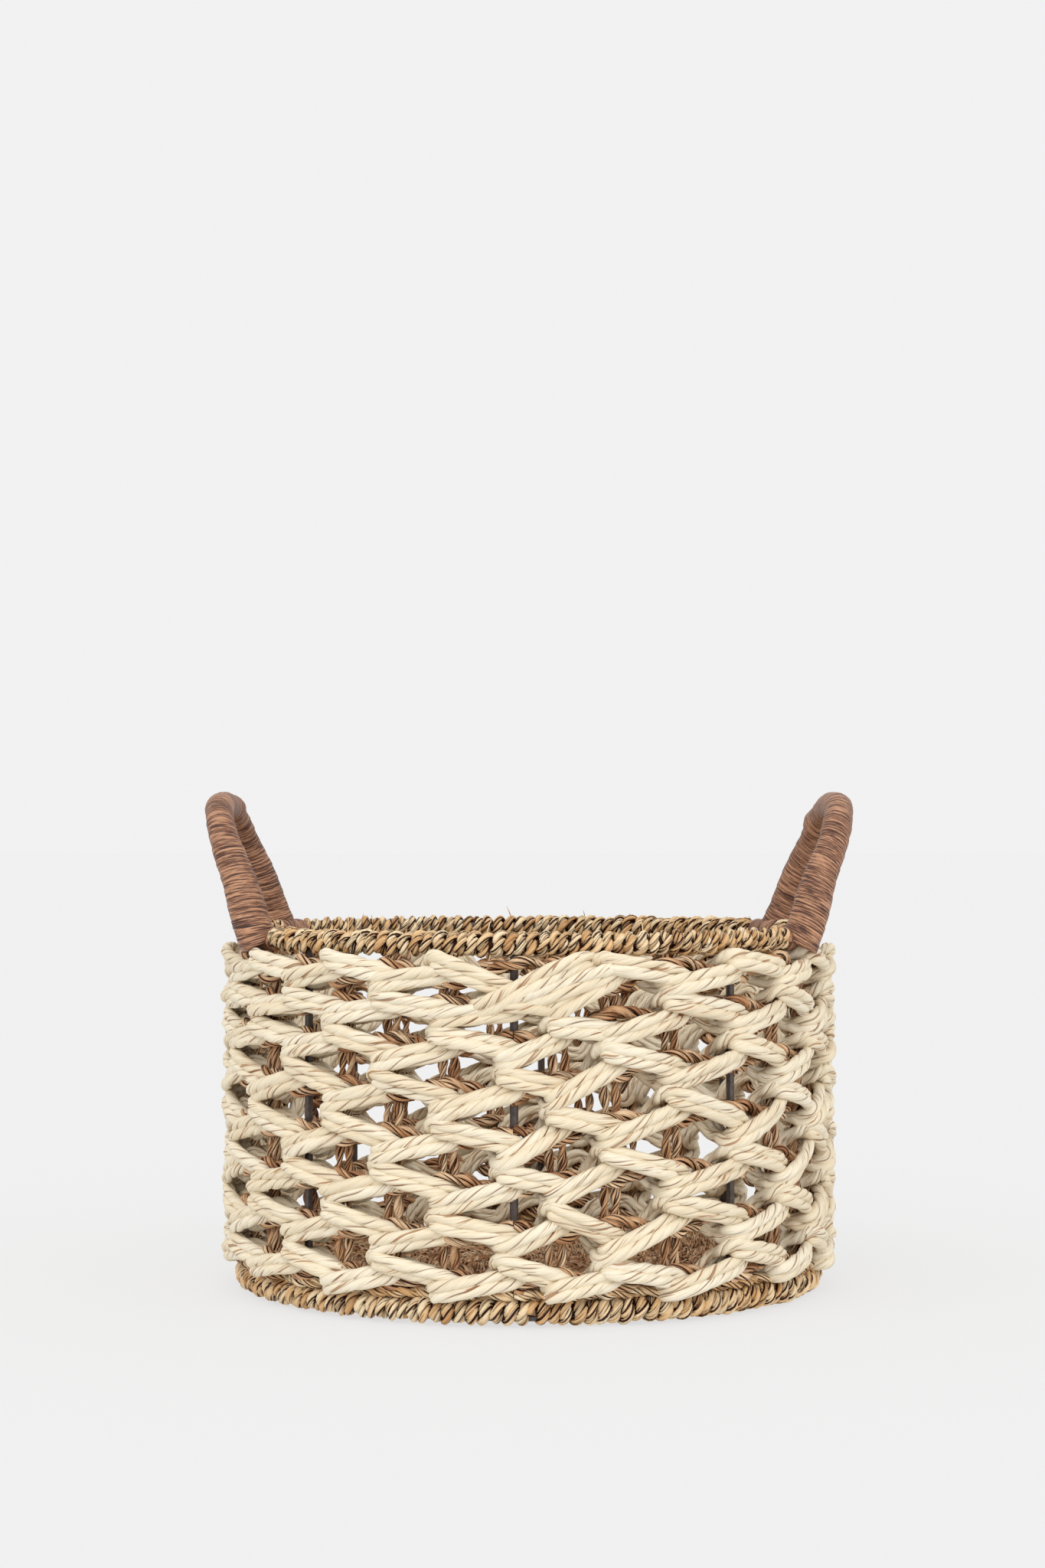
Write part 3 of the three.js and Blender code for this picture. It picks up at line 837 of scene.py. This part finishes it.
class Nodes:
    """Short calls for building a material's node tree."""

    def __init__(self, name):
        self.material = bpy.data.materials.new(name)
        self.material.use_nodes = True
        self.tree = self.material.node_tree
        self.shader = self.tree.nodes["Principled BSDF"]

    def new(self, kind, **settings):
        node = self.tree.nodes.new(kind)
        for key, value in settings.items():
            setattr(node, key, value)
        return node

    def link(self, output, target):
        self.tree.links.new(output, target)

    def attribute(self, name):
        return self.new("ShaderNodeAttribute", attribute_name=name)

    def stretched_noise(self, along, across, detail=3.0, roughness=0.55):
        """Noise drawn out along the fibres: frequencies per metre along and across."""
        scale = self.new("ShaderNodeVectorMath", operation="MULTIPLY")
        self.link(self.attribute("fibre").outputs["Vector"], scale.inputs[0])
        scale.inputs[1].default_value = (along, across, across)
        noise = self.new("ShaderNodeTexNoise")
        noise.inputs["Scale"].default_value = 1.0
        noise.inputs["Detail"].default_value = detail
        noise.inputs["Roughness"].default_value = roughness
        self.link(scale.outputs[0], noise.inputs["Vector"])
        return noise.outputs["Fac"]

    def ramp(self, value, stops):
        ramp = self.new("ShaderNodeValToRGB")
        elements = ramp.color_ramp.elements
        while len(elements) < len(stops):
            elements.new(0.5)
        for element, (position, colour) in zip(elements, stops):
            element.position = position
            element.color = colour
        self.link(value, ramp.inputs[0])
        return ramp.outputs["Color"]

    def mix(self, factor, a, b, blend="MIX"):
        mix = self.new("ShaderNodeMix", data_type="RGBA", blend_type=blend)
        for value, slot in ((factor, 0), (a, 6), (b, 7)):
            if hasattr(value, "links"):
                self.link(value, mix.inputs[slot])
            else:
                mix.inputs[slot].default_value = value
        return mix.outputs[2]

    def math(self, operation, a, b=None):
        node = self.new("ShaderNodeMath", operation=operation)
        for value, slot in ((a, 0), (b, 1)):
            if value is None:
                continue
            if hasattr(value, "links"):
                self.link(value, node.inputs[slot])
            else:
                node.inputs[slot].default_value = value
        return node.outputs[0]

    def bump(self, height, distance, strength=1.0, after=None):
        bump = self.new("ShaderNodeBump")
        bump.inputs["Strength"].default_value = strength
        bump.inputs["Distance"].default_value = distance
        self.link(height, bump.inputs["Height"])
        if after is not None:
            self.link(after, bump.inputs["Normal"])
        return bump.outputs["Normal"]

    def finish(self, colour, roughness, specular):
        """Sets the shader's main values; roughness is a number or an output."""
        self.link(colour, self.shader.inputs["Base Color"])
        if hasattr(roughness, "links"):
            self.link(roughness, self.shader.inputs["Roughness"])
        else:
            self.shader.inputs["Roughness"].default_value = roughness
        self.shader.inputs["Specular IOR Level"].default_value = specular


def paper_material():
    """Cream paper: darker fibre streaks, and painted shade along its wrinkle creases, in the folds
    between strands and where the plies touch.
    """
    n = Nodes("twisted_paper")
    tone = n.attribute("tone").outputs["Fac"]
    groove = n.attribute("groove").outputs["Fac"]
    streaks = n.stretched_noise(60, 1300)
    creases = n.stretched_noise(38, 420, detail=2.0)
    dull, plain, bright = srgb(230, 215, 187), srgb(235, 223, 197), srgb(239, 230, 209)
    lit = n.ramp(tone, [(0.0, dull), (0.5, plain), (1.0, bright)])
    lit = n.mix(n.ramp(streaks, [(0.36, grey(0.45)), (0.54, grey(0))]), lit, srgb(210, 184, 142))
    # Painted shade along the wrinkle creases, where the crease bump sinks.
    lit = n.mix(n.ramp(creases, [(0.34, grey(0.8)), (0.38, grey(0))]), lit, srgb(156, 108, 62))
    # Painted shade in the folds between strands and where the plies touch.
    fold_and_seam_shade = n.ramp(groove, [(0.15, grey(0)), (0.4, grey(0.3)), (0.9, grey(0.85))])
    n.finish(n.mix(fold_and_seam_shade, lit, srgb(122, 72, 28)), 0.72, 0.3)
    fine = n.bump(streaks, 0.3 * MM)
    n.link(n.bump(creases, 0.7 * MM, after=fine), n.shader.inputs["Normal"])
    return n.material


def seagrass_material(name, dark, mid, light, pale):
    """Twisted leaf: patches from mid to pale, tan and olive leaves, dark streaks, and painted shade in
    the creases, the ply seams and the hollows of coils.
    """
    n = Nodes(name)
    tone = n.attribute("tone").outputs["Fac"]
    groove = n.attribute("groove").outputs["Fac"]
    patches = n.stretched_noise(60, 420, detail=3.0)
    streaks = n.stretched_noise(60, 950, detail=2.0, roughness=0.6)
    mixed = n.math("ADD", n.math("MULTIPLY", tone, 0.4), n.math("MULTIPLY", patches, 0.8))
    leaf = n.ramp(mixed, [(0.30, mid), (0.52, light), (0.78, pale)])
    hue = n.stretched_noise(18, 60, detail=1.0)
    leaf = n.mix(n.ramp(hue, [(0.58, grey(0)), (0.68, grey(0.25))]), leaf, srgb(204, 146, 88))
    leaf = n.mix(n.ramp(hue, [(0.28, grey(0.25)), (0.36, grey(0))]), leaf, srgb(184, 168, 112))
    leaf = n.mix(n.ramp(streaks, [(0.37, grey(0.8)), (0.43, grey(0))]), leaf, dark)
    # Painted shade: the dark colour in the creases, the ply seams, the inner sides of coils and the
    # core under them.
    colour = n.mix(n.ramp(groove, [(0.12, grey(0)), (0.5, grey(1))]), leaf, dark)
    n.finish(colour, n.ramp(patches, [(0.3, grey(0.42)), (0.7, grey(0.62))]), 0.18)
    fine = n.bump(streaks, 0.5 * MM)
    n.link(n.bump(patches, 0.6 * MM, after=fine), n.shader.inputs["Normal"])
    return n.material


def strip_material():
    """Pleated brown strip: fine pleats along the turns, and painted shade where one turn ends over the
    next.
    """
    n = Nodes("wound_strip")
    tone = n.attribute("tone").outputs["Fac"]
    groove = n.attribute("groove").outputs["Fac"]
    pleats = n.stretched_noise(50, 1100, detail=3.0, roughness=0.8)
    patches = n.stretched_noise(40, 220, detail=2.0)
    mixed = n.math("ADD", n.math("MULTIPLY", tone, 0.03), pleats)
    deep, brown, pale = srgb(36, 14, 6), srgb(106, 62, 40), srgb(198, 148, 112)
    strip = n.ramp(mixed, [(0.40, deep), (0.48, brown), (0.60, pale)])
    strip = n.mix(n.math("MULTIPLY", patches, 0.2), strip, srgb(104, 68, 54))
    # Painted shade where one turn ends over the next.
    n.finish(n.mix(n.math("MULTIPLY", groove, 0.6), strip, srgb(58, 34, 24)), 0.5, 0.45)
    n.link(n.bump(pleats, 0.6 * MM), n.shader.inputs["Normal"])
    return n.material


def steel_material():
    """Dark painted wire with a slightly uneven coat."""
    n = Nodes("painted_steel")
    place = n.new("ShaderNodeTexCoord")
    noise = n.new("ShaderNodeTexNoise")
    noise.inputs["Scale"].default_value = 260.0
    noise.inputs["Detail"].default_value = 4.0
    n.link(place.outputs["Object"], noise.inputs["Vector"])
    paint = n.ramp(noise.outputs["Fac"], [(0.3, srgb(66, 58, 54)), (0.7, srgb(96, 86, 82))])
    n.link(paint, n.shader.inputs["Base Color"])
    n.shader.inputs["Metallic"].default_value = 0.35
    n.shader.inputs["Roughness"].default_value = 0.42
    n.link(n.bump(noise.outputs["Fac"], 0.15 * MM), n.shader.inputs["Normal"])
    return n.material


def floor_material():
    """Pale studio floor, partly lit from within so that the basket's shadow on it stays faint."""
    n = Nodes("pale_floor")
    n.shader.inputs["Base Color"].default_value = grey(0.18)
    n.shader.inputs["Emission Color"].default_value = grey(1.0)
    n.shader.inputs["Emission Strength"].default_value = 0.665
    n.shader.inputs["Roughness"].default_value = 0.9
    n.shader.inputs["Specular IOR Level"].default_value = 0.0
    return n.material

# ---------------------------------------------------------------- stage

CAMERA_PLACE = (-0.0038, -1.745, 0.261)
CAMERA_TILT = math.radians(91.04)
CAMERA_LENS = 67.9               # for a picture 36 mm high
FLOOR_HALF = 60.0
WORLD_STRENGTH = 0.885
# Azimuth from the front towards +X, elevation and spread in degrees, and strength.
SUNS = {"key": (-30, 46, 70, 0.76), "fill": (25, 14, 90, 1.08)}


def build_camera():
    data = bpy.data.cameras.new("camera")
    data.sensor_fit = "VERTICAL"
    data.sensor_height = 36.0
    data.lens = CAMERA_LENS
    data.clip_start = 0.05
    data.clip_end = 50
    camera = bpy.data.objects.new("camera", data)
    camera.location = CAMERA_PLACE
    camera.rotation_euler = (CAMERA_TILT, 0, 0)
    bpy.context.scene.collection.objects.link(camera)
    bpy.context.scene.camera = camera


def build_floor_stage(material):
    """A wide flat floor that fades into the pale studio light."""
    mesh = bpy.data.meshes.new("floor")
    corners = [(x * FLOOR_HALF, y * FLOOR_HALF, 0) for x, y in ((-1, -1), (1, -1), (1, 1), (-1, 1))]
    mesh.from_pydata(corners, [], [(0, 1, 2, 3)])
    mesh.materials.append(material)
    floor = bpy.data.objects.new("floor", mesh)
    bpy.context.scene.collection.objects.link(floor)


def add_sun(name, azimuth, elevation, spread, strength):
    """Soft distant light."""
    data = bpy.data.lights.new(name, "SUN")
    data.angle = math.radians(spread)
    data.energy = strength
    light = bpy.data.objects.new(name, data)
    light.rotation_euler = (math.radians(90 - elevation), 0, math.radians(azimuth))
    bpy.context.scene.collection.objects.link(light)


def build_lights():
    world = bpy.data.worlds.new("studio")
    world.use_nodes = True
    background = world.node_tree.nodes["Background"]
    background.inputs["Color"].default_value = (1.0, 1.0, 1.0, 1)
    background.inputs["Strength"].default_value = WORLD_STRENGTH
    bpy.context.scene.world = world
    for name, settings in SUNS.items():
        add_sun(name, *settings)
    bpy.context.scene.view_settings.view_transform = "Standard"

# ---------------------------------------------------------------- assembly

def place(piece, slot, *nodes):
    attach(piece, "root")
    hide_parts(*nodes)


def paint_steel(material):
    """The frame's own wires stay as they are, with a better material."""
    for name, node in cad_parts.items():
        if "steel" in name or "ring" in name or "wire" in name:
            node.data.materials.clear()
            node.data.materials.append(material)


def build_basket():
    paper = paper_material()
    # Colour of the leaves' dark streaks, and of the painted shade in their creases and between coil
    # turns.
    dark = srgb(50, 16, 3)
    tan = [srgb(188, 138, 86), srgb(220, 180, 130), srgb(242, 220, 182)]
    brown = [srgb(142, 92, 60), srgb(196, 148, 106), srgb(236, 204, 166)]
    binding = seagrass_material("seagrass", dark, *tan)
    cord = seagrass_material("seagrass_brown", dark, *brown)
    strip = strip_material()
    for row in range(ROWS):
        place(build_rope_row(row, paper), "paper_rope", f"rope_row_{row + 1}")
        place(build_weft_row(row, cord), "seagrass_dark", f"weft_row_{row + 1}")
    for stake in range(STAKES):
        if stake % 4:
            place(build_stake(stake, cord), "seagrass_dark", stake_node(stake))
    for number, (side, *_) in enumerate(RIM_PARTS):
        place(build_rim_wrap(number, binding), "seagrass", f"rim_wrap_{side}")
    place(build_base(binding), "seagrass", "base_wrap")
    place(build_floor(cord), "seagrass", "floor_mat")
    for name in ("right", "left"):
        place(build_handle(name, strip), "brown_strip", f"handle_wrap_{name}")
    paint_steel(steel_material())


build_camera()
build_floor_stage(floor_material())
build_lights()
build_basket()
